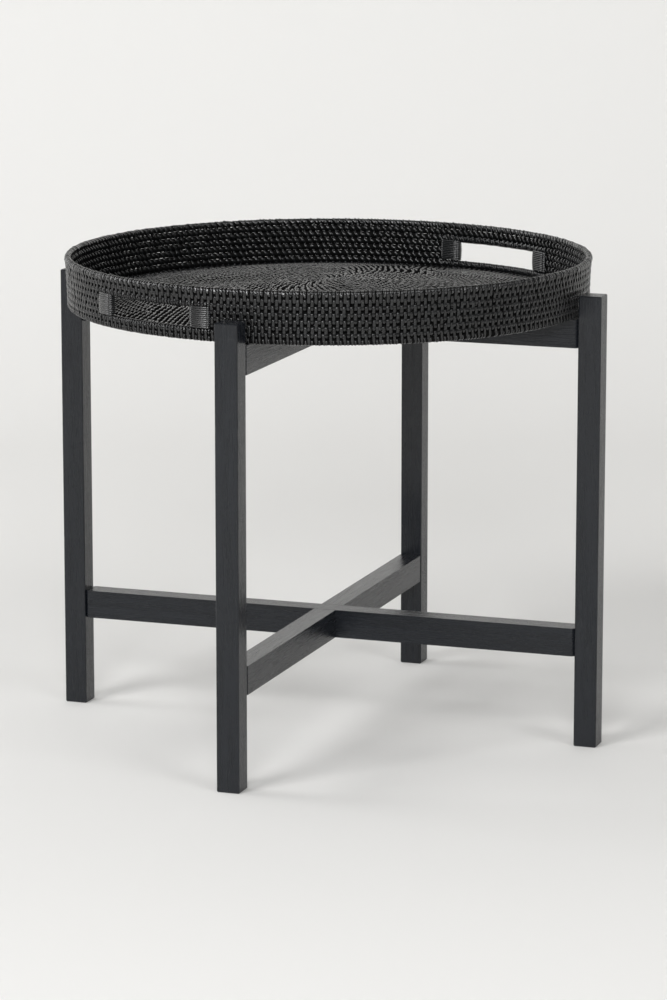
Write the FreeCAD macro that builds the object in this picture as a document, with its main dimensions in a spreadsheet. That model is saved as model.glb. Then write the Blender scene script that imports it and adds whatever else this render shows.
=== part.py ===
import FreeCAD, Part
import math
import os
import re
import Sketcher

# A round side table: a coiled rattan tray rests on a stand that folds flat. The stand is one rigid
# frame along X (two legs and two long rails) and two wings, front and back, each of one leg and two
# short rails. A wing is hinged to the faces of the long rails near the middle and swings flat
# against them. Millimetres and degrees, +Z up. The origin is on the floor, midway between the legs.

SIZES = {
    # legs, all four alike
    "leg_height": 480,
    "leg_side": 24.5,
    "leg_edge_radius": 1.5,
    "leg_end_ease": 1,
    # room from the tray's base to the legs of the long frame and of the wings
    "long_frame_leg_gap": 2.5,
    "wing_leg_gap": 6.5,
    # rails
    "rail_height": 30,
    "rail_thickness": 24,
    "rail_end_bevel": 3,
    "lower_rail_base": 97,
    "leg_top_rise": 25,
    # glued dowels, two in each joint of rail and leg
    "dowel_radius": 4,
    "dowel_length": 30,
    "dowel_pitch": 15,
    "dowel_play": 0.05,
    "dowel_end_room": 1,
    # butt hinges, let in flush
    "fold_gap": 0.6,
    "hinge_height": 25,
    "hinge_reach": 20,
    "leaf_thickness": 1.2,
    "barrel_radius": 2.2,
    "barrel_stand_off": 2.7,
    "pin_radius": 1.2,
    "pin_play": 0.05,
    "knuckle_gap": 0.3,
    "let_in_play": 0.3,
    # hinge screws
    "screw_radius": 1.4,
    "screw_head_radius": 2.5,
    "screw_length": 13,
    "screw_pitch": 14,
    "screw_play": 0.05,
    # tray, a stack of coils that leans out a little, with a domed floor
    "tray_rest_gap": 0.3,
    "coil_pitch": 6.9,
    "wall_thickness": 7.6,
    "tray_base_radius": 275.5,
    "tray_flare": 2.2,
    "tray_base_round": 3,
    "floor_shelf_width": 19.5,
    "floor_dome_rise": 20,
    "rim_bulge": 0.7,
    "rim_round": 3,
    # hand holes between wrapped posts
    "right_handle_angle": 65.3,
    "left_handle_angle": 247.5,
    "handle_half_angle": 11.5,
    "post_angle": 5,
    "post_bulge": 1,
}

# the tray's coils from the bottom up; the lowest is the floor's own outer coil
FLOOR_COILS = 1
BASE_COILS = 1
HANDLE_COILS = 3
TOP_COILS = 2
RIM_COILS = 1
COILS = FLOOR_COILS + BASE_COILS + HANDLE_COILS + TOP_COILS + RIM_COILS

# how near counts as the same place, and how far outside its mouth a cutter starts
SAME_PLACE = 1e-4
CUTTER_LEAD = 1

doc = FreeCAD.newDocument("FoldingTrayTable")
sheet = doc.addObject("Spreadsheet::Sheet", "Sizes")
for row, (alias, number) in enumerate(SIZES.items(), start=1):
    sheet.set(f"A{row}", alias)
    sheet.set(f"B{row}", str(number))
    sheet.setAlias(f"B{row}", alias)
doc.recompute()


# Expressions of the sizes

def cells(text):
    """The expression with each size's name pointed at the sheet."""
    return re.sub(r"[a-z_]+", lambda word: f"Sizes.{word.group()}", text)


def bind(item, **expressions):
    """Binds properties, with __ for a dot in their names, to expressions of the sizes."""
    for name, text in expressions.items():
        item.setExpression(name.replace("__", "."), cells(text))


def bind_base(item, x="0", y="0", z="0"):
    bind(item, Placement__Base__x=x, Placement__Base__y=y, Placement__Base__z=z)


def value(text):
    """The number that an expression of the sizes has now."""
    return float(sheet.evalExpression(cells(text)))


UPPER_RAIL_BASE = "(leg_height - leg_top_rise - rail_height)"
RAIL_BASES = {"lower": "lower_rail_base", "upper": UPPER_RAIL_BASE}
LONG_REACH = "(tray_base_radius + long_frame_leg_gap)"
WING_REACH = "(tray_base_radius + wing_leg_gap)"
WING_START = "(rail_thickness / 2 + fold_gap)"
DOWEL_HOLE_RADIUS = "(dowel_radius + dowel_play)"
DOWEL_HOLE_DEPTH = "(dowel_length / 2 + dowel_end_room)"
PIN_X = "(0 - rail_thickness / 2 - barrel_stand_off)"
PIN_Y = "(0 - rail_thickness / 2 - fold_gap / 2)"
TRAY_BASE = "(leg_height - leg_top_rise + tray_rest_gap)"
DOME_RADIUS = "(tray_base_radius - floor_shelf_width)"


# Bodies and their features

WAYS = {"+X": (1, 0, 0), "-X": (-1, 0, 0), "+Y": (0, 1, 0), "-Y": (0, -1, 0), "+Z": (0, 0, 1)}


def turn_to(way):
    """The rotation that takes +Z to this way."""
    return FreeCAD.Rotation(FreeCAD.Vector(0, 0, 1), FreeCAD.Vector(*WAYS[way]))


def turn_about_z(angle):
    return FreeCAD.Rotation(FreeCAD.Vector(0, 0, 1), angle)


def make_body(label):
    body = doc.addObject("PartDesign::Body", label)
    body.Label = label
    return body


def stand_at(item, turn, **base):
    """Turns the item about Z and binds its place."""
    item.Placement = FreeCAD.Placement(FreeCAD.Vector(), turn_about_z(turn))
    bind_base(item, **base)
    return item


def add_box(body, kind, name, lengths, corner):
    """A PartDesign box, AdditiveBox or SubtractiveBox, with its lengths and low corner bound."""
    box = body.newObject(f"PartDesign::{kind}", name)
    bind(box, Length=lengths[0], Width=lengths[1], Height=lengths[2])
    bind_base(box, *corner)
    doc.recompute()


def add_rod(body, kind, name, radius, length, start, way="+Z"):
    """A PartDesign cylinder, AdditiveCylinder or SubtractiveCylinder, from its start along way."""
    rod = body.newObject(f"PartDesign::{kind}", name)
    rod.Placement = FreeCAD.Placement(FreeCAD.Vector(), turn_to(way))
    bind(rod, Radius=radius, Height=length)
    bind_base(rod, *start)
    doc.recompute()


def bore(body, name, radius, depth, mouth, way):
    """A round hole from its mouth along way, cut from a little outside."""
    start = [f"{place} - {step * CUTTER_LEAD}" for place, step in zip(mouth, WAYS[way])]
    add_rod(body, "SubtractiveCylinder", name, radius, f"{depth} + {CUTTER_LEAD}", start, way)


def add_cone(body, kind, name, radii, length, start, way):
    """A PartDesign cone, AdditiveCone or SubtractiveCone, from its start along way."""
    cone = body.newObject(f"PartDesign::{kind}", name)
    cone.Placement = FreeCAD.Placement(FreeCAD.Vector(), turn_to(way))
    bind(cone, Radius1=radii[0], Radius2=radii[1], Height=length)
    bind_base(cone, *start)
    doc.recompute()


def dress(body, kind, name, wanted, **size):
    """A Fillet or Chamfer of the given size on each edge of the body's tip that wanted() picks."""
    base = body.Tip
    edges = [f"Edge{place}" for place, edge in enumerate(base.Shape.Edges, start=1) if wanted(edge)]
    feature = body.newObject(f"PartDesign::{kind}", name)
    feature.Base = (base, edges)
    bind(feature, **size)
    doc.recompute()


def is_upright(edge):
    """True for a straight edge along Z."""
    return isinstance(edge.Curve, Part.Line) and abs(edge.Curve.Direction.z) > 1 - SAME_PLACE


def is_at_x(edge, places):
    box = edge.BoundBox
    return any(max(abs(box.XMin - place), abs(box.XMax - place)) < SAME_PLACE for place in places)


def is_at_z(edge, places):
    box = edge.BoundBox
    return any(max(abs(box.ZMin - place), abs(box.ZMax - place)) < SAME_PLACE for place in places)


def start_sketch(body):
    """An empty sketch on the body's XZ plane: its axes are the body's X and Z."""
    sketch = body.newObject("Sketcher::SketchObject", "Section")
    plane = next(plane for plane in body.Origin.OriginFeatures if plane.Role == "XZ_Plane")
    sketch.AttachmentSupport = [(plane, "")]
    sketch.MapMode = "FlatFace"
    return sketch


# how a constraint names the sketch's own axes, and the points of a side
X_AXIS, Z_AXIS = range(-1, -3, -1)
START, END, CENTRE = range(1, 4)


def drive(sketch, kind, side, point, text):
    """A distance from the sketch's origin to a side's point, bound to an expression."""
    order = sketch.addConstraint(Sketcher.Constraint(kind, X_AXIS, START, side, point, value(text)))
    bind(sketch, **{f"Constraints[{order}]": text})


def join(sketch, *joins):
    for ends in joins:
        sketch.addConstraint(Sketcher.Constraint("Coincident", *ends))


def spin(body, sketch, angle="360"):
    """Turns the sketch about the body's Z axis, anticlockwise seen from above."""
    ring = body.newObject("PartDesign::Revolution", "Ring")
    ring.Profile = sketch
    ring.ReferenceAxis = (sketch, ["V_Axis"])
    bind(ring, Angle=angle)
    doc.recompute()


def group(label, members):
    """One sub-part of several separate, alike pieces."""
    bunch = doc.addObject("Part::Compound", label)
    bunch.Label = label
    bunch.Links = members
    doc.recompute()
    return bunch


# Legs. In its own frame a leg stands on its origin and its inner side faces +X.

def dowel_heights():
    """The heights of a leg's dowels, two in each rail."""
    middles = [f"({base} + rail_height / 2)" for base in RAIL_BASES.values()]
    return [f"({middle} + {side} * dowel_pitch / 2)" for middle in middles for side in (-1, 1)]


def make_leg(label, turn, **base):
    leg = make_body(label)
    half = "0 - leg_side / 2"
    add_box(leg, "AdditiveBox", "Bar", ("leg_side", "leg_side", "leg_height"), (half, half, "0"))
    dress(leg, "Fillet", "EasedEdges", is_upright, Radius="leg_edge_radius")
    ends = (0, value("leg_height"))
    dress(leg, "Chamfer", "EasedEnds", lambda edge: is_at_z(edge, ends), Size="leg_end_ease")
    for height in dowel_heights():
        mouth = ("leg_side / 2", "0", height)
        bore(leg, "DowelHole", DOWEL_HOLE_RADIUS, DOWEL_HOLE_DEPTH, mouth, "-X")
    return stand_at(leg, turn, **base)


legs = [
    make_leg("leg_left", 0, x=f"0 - {LONG_REACH} - leg_side / 2"),
    make_leg("leg_right", 180, x=f"{LONG_REACH} + leg_side / 2"),
    make_leg("leg_front", 90, y=f"0 - {WING_REACH} - leg_side / 2"),
    make_leg("leg_back", -90, y=f"{WING_REACH} + leg_side / 2"),
]


# Rails. In its own frame a rail runs along X, centred on Y, and stands on Z = 0.

SEAT_HEIGHT = "(hinge_height + 2 * let_in_play)"
SEAT_BASE = f"(rail_height / 2 - {SEAT_HEIGHT} / 2)"
LEAF_MIDDLE = f"({PIN_X} + barrel_stand_off + hinge_reach / 2)"
SCREW_LIFTS = [f"({side} * screw_pitch / 2)" for side in (-1, 1)]


def bore_rail_end(rail, end, way):
    """Two dowel holes in the end of the rail at X = end, going in along way."""
    for side in (-1, 1):
        mouth = (end, "0", f"rail_height / 2 + {side} * dowel_pitch / 2")
        bore(rail, "DowelHole", DOWEL_HOLE_RADIUS, DOWEL_HOLE_DEPTH, mouth, way)


def bore_for_screws(rail, x, y, way):
    for lift in SCREW_LIFTS:
        mouth = (x, y, f"rail_height / 2 + {lift}")
        bore(rail, "PilotHole", "(screw_radius + screw_play)", "screw_length", mouth, way)


def let_in_hinge(rail, side):
    """A flush seat for a fixed leaf and its barrel, in the rail's face on the front, -1, or back, 1.

    The seat at the back is the one at the front, turned half round about the rail's middle.
    """
    face = f"{side} * rail_thickness / 2"
    room = "(barrel_radius + let_in_play)"
    seats = {
        "LeafSeat": (PIN_X, "(hinge_reach + barrel_stand_off)", "leaf_thickness"),
        "BarrelSeat": (f"({PIN_X} - {room})", f"(2 * {room})", f"({room} - fold_gap / 2)"),
    }
    for name, (start, length, depth) in seats.items():
        x = start if side < 0 else f"0 - {start} - {length}"
        y = face if side < 0 else f"{face} - {depth}"
        add_box(rail, "SubtractiveBox", name, (length, depth, SEAT_HEIGHT), (x, y, SEAT_BASE))
    bore_for_screws(rail, f"{-side} * {LEAF_MIDDLE}", face, "+Y" if side < 0 else "-Y")


def make_long_rail(label, base):
    rail = make_body(label)
    bar = (f"2 * {LONG_REACH}", "rail_thickness", "rail_height")
    add_box(rail, "AdditiveBox", "Bar", bar, (f"0 - {LONG_REACH}", "0 - rail_thickness / 2", "0"))
    ends = (-value(LONG_REACH), value(LONG_REACH))
    end_corners = lambda edge: is_upright(edge) and is_at_x(edge, ends)
    dress(rail, "Chamfer", "EndBevel", end_corners, Size="rail_end_bevel")
    bore_rail_end(rail, f"0 - {LONG_REACH}", "+X")
    bore_rail_end(rail, LONG_REACH, "-X")
    for side in (-1, 1):
        let_in_hinge(rail, side)
    return stand_at(rail, 0, z=base)


def make_short_rail(label, turn, base):
    """A wing's rail: it runs out from the long rail's face and is turned to the front or back.

    The moving leaf's seat is in its inner end.
    """
    rail = make_body(label)
    bar = (f"{WING_REACH} - {WING_START}", "rail_thickness", "rail_height")
    add_box(rail, "AdditiveBox", "Bar", bar, (WING_START, "0 - rail_thickness / 2", "0"))
    outer_corners = lambda edge: is_upright(edge) and is_at_x(edge, [value(WING_REACH)])
    dress(rail, "Chamfer", "EndBevel", outer_corners, Size="rail_end_bevel")
    bore_rail_end(rail, WING_REACH, "-X")
    seat = ("leaf_thickness", "hinge_reach", SEAT_HEIGHT)
    add_box(rail, "SubtractiveBox", "LeafSeat", seat, (WING_START, "0 - rail_thickness / 2", SEAT_BASE))
    bore_for_screws(rail, WING_START, LEAF_MIDDLE, "+X")
    return stand_at(rail, turn, z=base)


WING_TURNS = {"front": -90, "back": 90}
rails = []
for level, rail_base in RAIL_BASES.items():
    rails.append(make_long_rail(f"long_{level}_rail", rail_base))
    for wing, wing_turn in WING_TURNS.items():
        rails.append(make_short_rail(f"{wing}_{level}_rail", wing_turn, rail_base))


# Dowels, half in the rail and half in the leg

def make_dowels(label, ways, joint):
    """The dowels of the joints of rail and leg that lie this far out from the middle, each way."""
    dowels = []
    for way in ways:
        step_x, step_y, _ = WAYS[way]
        start = f"({joint} - dowel_length / 2)"
        for height in dowel_heights():
            dowel = doc.addObject("Part::Cylinder", "Dowel")
            dowel.Placement = FreeCAD.Placement(FreeCAD.Vector(), turn_to(way))
            bind(dowel, Radius="dowel_radius", Height="dowel_length")
            bind_base(dowel, f"{step_x} * {start}", f"{step_y} * {start}", height)
            dowels.append(dowel)
    return group(label, dowels)


dowel_groups = [
    make_dowels("long_frame_dowels", ["+X", "-X"], LONG_REACH),
    make_dowels("front_wing_dowels", ["-Y"], WING_REACH),
    make_dowels("back_wing_dowels", ["+Y"], WING_REACH),
]


# Hinges. Each is made in the place of the front wing's, and turned half round for the back wing.

KNUCKLES = 3
KNUCKLE_HEIGHT = f"((hinge_height - {KNUCKLES - 1} * knuckle_gap) / {KNUCKLES})"
KNUCKLE_BASES = [f"({place} * ({KNUCKLE_HEIGHT} + knuckle_gap))" for place in range(KNUCKLES)]
HINGE_TURNS = {"front": 0, "back": 180}
BARREL_CLEAR = "(barrel_radius + knuckle_gap)"
FIXED_FACE = f"({PIN_Y} + fold_gap / 2)"
MOVING_FACE = f"({PIN_Y} - fold_gap / 2)"


def place_hinge(piece, wing, base):
    return stand_at(piece, HINGE_TURNS[wing], z=f"{base} + rail_height / 2 - hinge_height / 2")


def make_leaf(label, wing, base, is_fixed):
    """A plate, its knuckles round the pin's bore, and two countersunk screw holes.

    The fixed leaf is let into the long rail and has the end knuckles. The moving leaf is let into
    the end of the wing's rail and has the middle one.
    """
    leaf = make_body(label)
    near = FIXED_FACE if is_fixed else f"({MOVING_FACE} - leaf_thickness)"
    plate = (f"hinge_reach + barrel_stand_off - {BARREL_CLEAR}", "leaf_thickness", "hinge_height")
    add_box(leaf, "AdditiveBox", "Plate", plate, (f"{PIN_X} + {BARREL_CLEAR}", near, "0"))
    tongue = (f"{BARREL_CLEAR} - pin_radius", "leaf_thickness", KNUCKLE_HEIGHT)
    for low in KNUCKLE_BASES[0::2] if is_fixed else KNUCKLE_BASES[1::2]:
        add_box(leaf, "AdditiveBox", "Tongue", tongue, (f"{PIN_X} + pin_radius", near, low))
        add_rod(leaf, "AdditiveCylinder", "Knuckle", "barrel_radius", KNUCKLE_HEIGHT, (PIN_X, PIN_Y, low))
    through = f"hinge_height + {CUTTER_LEAD}"
    bore(leaf, "PinBore", "(pin_radius + pin_play)", through, (PIN_X, PIN_Y, "0"), "+Z")
    face, way = (FIXED_FACE, "+Y") if is_fixed else (MOVING_FACE, "-Y")
    radii = ("screw_head_radius + screw_play", "screw_radius + screw_play")
    for lift in SCREW_LIFTS:
        start = (LEAF_MIDDLE, face, f"hinge_height / 2 + {lift}")
        add_cone(leaf, "SubtractiveCone", "Countersink", radii, "leaf_thickness", start, way)
    return place_hinge(leaf, wing, base)


def make_pin(label, wing, base):
    pin = make_body(label)
    add_rod(pin, "AdditiveCylinder", "Shank", "pin_radius", "hinge_height", (PIN_X, PIN_Y, "0"))
    return place_hinge(pin, wing, base)


def make_screw(wing, base, lift, is_fixed):
    """A countersunk screw through a leaf, its head flush with the leaf's face."""
    screw = make_body("Screw")
    way, side, face = ("+Y", 1, FIXED_FACE) if is_fixed else ("-Y", -1, MOVING_FACE)
    height = f"hinge_height / 2 + {lift}"
    radii = ("screw_head_radius", "screw_radius")
    add_cone(screw, "AdditiveCone", "Head", radii, "leaf_thickness", (LEAF_MIDDLE, face, height), way)
    shank_start = (LEAF_MIDDLE, f"{face} + {side} * leaf_thickness", height)
    shank_length = "screw_length - leaf_thickness"
    add_rod(screw, "AdditiveCylinder", "Shank", "screw_radius", shank_length, shank_start, way)
    return place_hinge(screw, wing, base)


def make_screws(label, wings, is_fixed):
    """The screws of these wings' hinges, into the long rails or into the wings' own rails."""
    places = [(wing, base, lift) for wing in wings for base in RAIL_BASES.values() for lift in SCREW_LIFTS]
    return group(label, [make_screw(*place, is_fixed) for place in places])


hinges = []
for wing in WING_TURNS:
    for level, rail_base in RAIL_BASES.items():
        hinge = f"{wing}_{level}_hinge"
        hinges.append(make_leaf(f"{hinge}_fixed_leaf", wing, rail_base, is_fixed=True))
        hinges.append(make_leaf(f"{hinge}_moving_leaf", wing, rail_base, is_fixed=False))
        hinges.append(make_pin(f"{hinge}_pin", wing, rail_base))
    hinges.append(make_screws(f"{wing}_wing_hinge_screws", [wing], is_fixed=False))
hinges.append(make_screws("long_frame_hinge_screws", list(WING_TURNS), is_fixed=True))


# Tray. Its coils are stacked rings. In each piece's own frame Z = 0 is the tray's underside.

def outer_radius(height):
    """The wall's outer radius at a height, as it leans out evenly up to the rim."""
    return f"(tray_base_radius + tray_flare * {height} / ({COILS} * coil_pitch))"


def make_band(label, first_coil, coils, start="0", span="360", bulge="0"):
    """A band of the wall, some coils high, all round or over the span of angles from start."""
    band = make_body(label)
    low, high = f"({first_coil} * coil_pitch)", f"({(first_coil + coils)} * coil_pitch)"
    corners = [
        (f"{outer_radius(low)} - wall_thickness - {bulge}", low),
        (f"{outer_radius(low)} + {bulge}", low),
        (f"{outer_radius(high)} + {bulge}", high),
        (f"{outer_radius(high)} - wall_thickness - {bulge}", high),
    ]
    sketch = start_sketch(band)
    points = [FreeCAD.Vector(value(x), value(z), 0) for x, z in corners]
    for side, point in enumerate(points):
        sketch.addGeometry(Part.LineSegment(point, points[(side + 1) % len(points)]), False)
    join(sketch, *[(side, END, (side + 1) % len(points), START) for side in range(len(points))])
    for side, (x, z) in enumerate(corners):
        drive(sketch, "DistanceX", side, START, x)
        drive(sketch, "DistanceY", side, START, z)
    doc.recompute()
    spin(band, sketch, span)
    stand_at(band, 0, z=TRAY_BASE)
    bind(band, Placement__Rotation__Angle=start)
    return band


def make_floor():
    """A disc one coil thick, flat where it bears on the rails and domed up in the middle."""
    floor = make_body("tray_floor")
    sketch = start_sketch(floor)
    radius, rise, thick = value(DOME_RADIUS), value("floor_dome_rise"), value("coil_pitch")
    edge, shelf_edge = value("tray_base_radius"), value(outer_radius("coil_pitch"))
    ball = (radius**2 + rise**2) / (2 * rise)
    swing = math.asin(radius / ball)
    at = FreeCAD.Vector
    for lift in (0, thick):
        circle = Part.Circle(at(0, rise - ball + lift, 0), at(0, 0, 1), ball)
        sketch.addGeometry(Part.ArcOfCircle(circle, math.pi / 2 - swing, math.pi / 2), False)
    corners = [
        (at(0, rise, 0), at(0, rise + thick, 0)),
        (at(radius, thick, 0), at(shelf_edge, thick, 0)),
        (at(shelf_edge, thick, 0), at(edge, 0, 0)),
        (at(edge, 0, 0), at(radius, 0, 0)),
    ]
    for here, there in corners:
        sketch.addGeometry(Part.LineSegment(here, there), False)
    under, over, middle, shelf, side, bearing = range(sketch.GeometryCount)
    join(sketch, (under, END, middle, START), (middle, END, over, END), (over, START, shelf, START))
    join(sketch, (shelf, END, side, START), (side, END, bearing, START), (bearing, END, under, START))
    points_on_axes = {
        X_AXIS: [(bearing, START), (bearing, END)],
        Z_AXIS: [(under, CENTRE), (over, CENTRE), (middle, START), (middle, END)],
    }
    for axis, points in points_on_axes.items():
        for line, point in points:
            sketch.addConstraint(Sketcher.Constraint("PointOnObject", line, point, axis))
    sketch.addConstraint(Sketcher.Constraint("Horizontal", shelf))
    drive(sketch, "DistanceX", bearing, START, "tray_base_radius")
    drive(sketch, "DistanceX", bearing, END, DOME_RADIUS)
    drive(sketch, "DistanceX", shelf, START, DOME_RADIUS)
    drive(sketch, "DistanceX", shelf, END, outer_radius("coil_pitch"))
    drive(sketch, "DistanceY", shelf, END, "coil_pitch")
    drive(sketch, "DistanceY", middle, START, "floor_dome_rise")
    drive(sketch, "DistanceY", middle, END, "floor_dome_rise + coil_pitch")
    doc.recompute()
    spin(floor, sketch)
    lies_outside = lambda rim: is_at_z(rim, [0]) and rim.BoundBox.XMax > radius + SAME_PLACE
    dress(floor, "Fillet", "BaseRound", lies_outside, Radius="tray_base_round")
    return stand_at(floor, 0, z=TRAY_BASE)


def make_rim():
    rim = make_band("tray_rim", COILS - RIM_COILS, RIM_COILS, bulge="rim_bulge")
    top = value(f"{COILS} * coil_pitch")
    dress(rim, "Fillet", "RimRound", lambda edge: is_at_z(edge, [top]), Radius="rim_round")
    return rim


HAND_HOLE_BASE = FLOOR_COILS + BASE_COILS
HALF_OPENING = "(handle_half_angle + post_angle)"
TURN_BETWEEN = "(left_handle_angle - right_handle_angle)"


def make_side_wall(label, handle, turn_to_next):
    """The coils between two handles, anticlockwise from this one."""
    start = f"{handle}_handle_angle + {HALF_OPENING}"
    return make_band(label, HAND_HOLE_BASE, HANDLE_COILS, start, f"{turn_to_next} - 2 * {HALF_OPENING}")


def make_posts(handle):
    """The two wrapped posts at the sides of a hand hole."""
    starts = {
        "near": f"{handle}_handle_angle - {HALF_OPENING}",
        "far": f"{handle}_handle_angle + handle_half_angle",
    }
    size = (HAND_HOLE_BASE, HANDLE_COILS)
    return [
        make_band(f"{handle}_handle_{post}_post", *size, start, "post_angle", "post_bulge")
        for post, start in starts.items()
    ]


tray = [
    make_floor(),
    make_band("wall_base_coil", FLOOR_COILS, BASE_COILS),
    make_side_wall("side_wall_left", "right", TURN_BETWEEN),
    make_side_wall("side_wall_right", "left", f"360 - {TURN_BETWEEN}"),
    *make_posts("right"),
    *make_posts("left"),
    make_band("wall_top_coils", HAND_HOLE_BASE + HANDLE_COILS, TOP_COILS),
    make_rim(),
]


# Check and write

doc.recompute()
failed = [item.Name for item in doc.Objects if {"Invalid", "Error"} & set(item.State)]
if failed:
    raise SystemExit(f"failed objects: {failed}")
sub_parts = legs + rails + dowel_groups + hinges + tray
for item in sub_parts:
    if item.Shape.isNull() or not item.Shape.isValid():
        raise SystemExit(f"bad shape: {item.Label}")
os.makedirs("parts", exist_ok=True)
for item in sub_parts:
    item.Shape.exportStep(f"parts/{item.Label}.step")
    print(f"{item.Label:32s} {len(item.Shape.Solids)} solids, {item.Shape.Volume / 1000:.2f} cm3")
print(f"{len(sub_parts)} sub-parts")
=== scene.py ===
# %% [markdown]
# # A round rattan tray on a folding wooden stand
#
# The engineering model is loaded first and never changed. It gives every place and size used below.
# The wooden stand is already right in shape, so it only needs finishes. The tray comes as plain
# rings, and this file weaves it: round rattan core coiled into rings, and flat strips of cane that
# lash each ring to the one before.

import math

import bpy
import numpy as np
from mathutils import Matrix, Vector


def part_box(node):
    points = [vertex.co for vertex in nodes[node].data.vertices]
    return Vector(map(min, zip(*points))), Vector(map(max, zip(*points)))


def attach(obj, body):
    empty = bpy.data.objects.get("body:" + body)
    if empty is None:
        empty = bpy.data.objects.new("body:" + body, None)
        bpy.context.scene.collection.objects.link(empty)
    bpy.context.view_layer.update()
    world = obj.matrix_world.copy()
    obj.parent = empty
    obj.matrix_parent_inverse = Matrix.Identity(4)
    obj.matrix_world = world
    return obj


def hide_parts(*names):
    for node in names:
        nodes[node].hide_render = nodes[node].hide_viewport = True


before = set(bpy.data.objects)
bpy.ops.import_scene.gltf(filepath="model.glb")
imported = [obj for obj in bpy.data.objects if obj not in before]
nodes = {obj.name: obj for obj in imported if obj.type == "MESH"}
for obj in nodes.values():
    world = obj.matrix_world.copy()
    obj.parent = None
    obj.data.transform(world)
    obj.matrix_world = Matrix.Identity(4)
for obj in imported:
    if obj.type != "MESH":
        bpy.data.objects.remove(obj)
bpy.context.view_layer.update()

# %% [markdown]
# ## Camera
#
# A long lens from well back keeps the legs nearly parallel. The camera is about as high as the eyes
# of a seated person, turned a little to the left, and looks slightly down into the tray.

# %% Camera
CAMERA_PLACE = (1.434, -4.070, 1.117)
CAMERA_TURN = 19.338
CAMERA_TILT = -11.435
LENS = 148.33
FILM = 36.0

camera_data = bpy.data.cameras.new("camera")
camera_data.sensor_fit = "VERTICAL"
camera_data.sensor_height = FILM
camera_data.sensor_width = FILM
camera_data.lens = LENS
camera = bpy.data.objects.new("camera", camera_data)
camera.location = CAMERA_PLACE
camera.rotation_euler = (math.radians(90 + CAMERA_TILT), 0, math.radians(CAMERA_TURN))
bpy.context.scene.collection.objects.link(camera)
bpy.context.scene.camera = camera
print("camera", round(math.hypot(*CAMERA_PLACE), 2), "m from the origin")

# %% [markdown]
# ## Sums on wires
#
# A finish is a small net of nodes, and most of the net is sums. Wiring each Math node by hand hides
# the sum, so a Wire overloads Python's own signs: `1 - mask * 0.5` adds the nodes that work it out.
# Every other kind of node comes from `Finish.node`, which sets its settings first and then the
# values or links of its sockets.

# %% Wire and Finish
class Wire:
    """A value on its way through a finish's nodes."""

    def __init__(self, finish, socket):
        self.finish = finish
        self.socket = socket

    def combined(self, operation, left, right):
        """The Math node that works out one sign."""
        return self.finish.node("ShaderNodeMath", {"operation": operation}, {0: left, 1: right})

    def __add__(self, other):
        return self.combined("ADD", self, other)

    def __radd__(self, other):
        return self.combined("ADD", other, self)

    def __sub__(self, other):
        return self.combined("SUBTRACT", self, other)

    def __rsub__(self, other):
        return self.combined("SUBTRACT", other, self)

    def __mul__(self, other):
        return self.combined("MULTIPLY", self, other)

    def __rmul__(self, other):
        return self.combined("MULTIPLY", other, self)


class Finish:
    """One material, built node by node."""

    def __init__(self, name):
        self.material = bpy.data.materials.new(name)
        self.material.use_nodes = True
        self.tree = self.material.node_tree
        self.tree.nodes.clear()

    def node(self, kind, settings=None, sockets=None, output=0):
        """Adds a node: its settings first, then the values or links of its sockets."""
        made = self.tree.nodes.new(kind)
        for name, setting in (settings or {}).items():
            if name == "stops":
                for stop, (place, shade) in zip(made.color_ramp.elements, setting):
                    stop.position = place
                    stop.color = (shade, shade, shade, 1)
            else:
                setattr(made, name, setting)
        for name, given in (sockets or {}).items():
            if isinstance(given, Wire):
                self.tree.links.new(given.socket, made.inputs[name])
            else:
                made.inputs[name].default_value = given
        return Wire(self, made.outputs[output]) if made.outputs else None

    def colours(self, mask, dark, light):
        """A colour that goes from dark to light with the mask."""
        paints = {0: mask, 6: (*dark, 1), 7: (*light, 1)}
        return self.node("ShaderNodeMix", {"data_type": "RGBA"}, paints, output=2)

    def shader(self, **sockets):
        """A surface shader. Two words of a socket's name are joined by an underscore."""
        named = {name.replace("_", " "): given for name, given in sockets.items()}
        return self.node("ShaderNodeBsdfPrincipled", sockets=named)

    def ended(self, shader):
        """The material, with its net ended in this shader."""
        self.node("ShaderNodeOutputMaterial", sockets={"Surface": shader})
        return self.material

    def surface(self, **sockets):
        """The material, with its net ended in one surface shader."""
        return self.ended(self.shader(**sockets))


# %% [markdown]
# ## Studio
#
# The table stands on a pale sweep: a floor that curves up into a wall with no line between. It is
# one strip of mesh, bent by an arc. Its back is left clear, so that the table can also be looked at
# from behind the wall and from below the floor. Four large soft lamps make the soft shadows: one like
# a window at the front left, one from the front, and a weaker one on each side. An even pale world
# gives the black surfaces something to mirror.

# %% Sweep
SWEEP_WIDTH = 12.0
SWEEP_FRONT = -6.0
SWEEP_BACK = 2.6
SWEEP_RADIUS = 1.0
SWEEP_HEIGHT = 5.0
ARC_STEPS = 24
PAPER = (0.82, 0.815, 0.80, 1)


def sweep_line():
    """The sweep's side view, from the front edge to the top of the wall."""
    turns = np.linspace(0, math.pi / 2, ARC_STEPS)
    bend_y = SWEEP_BACK - SWEEP_RADIUS + SWEEP_RADIUS * np.sin(turns)
    bend_z = SWEEP_RADIUS - SWEEP_RADIUS * np.cos(turns)
    bend = np.stack([bend_y, bend_z], axis=1)
    return np.vstack([[SWEEP_FRONT, 0], bend, [SWEEP_BACK, SWEEP_HEIGHT]])


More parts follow.
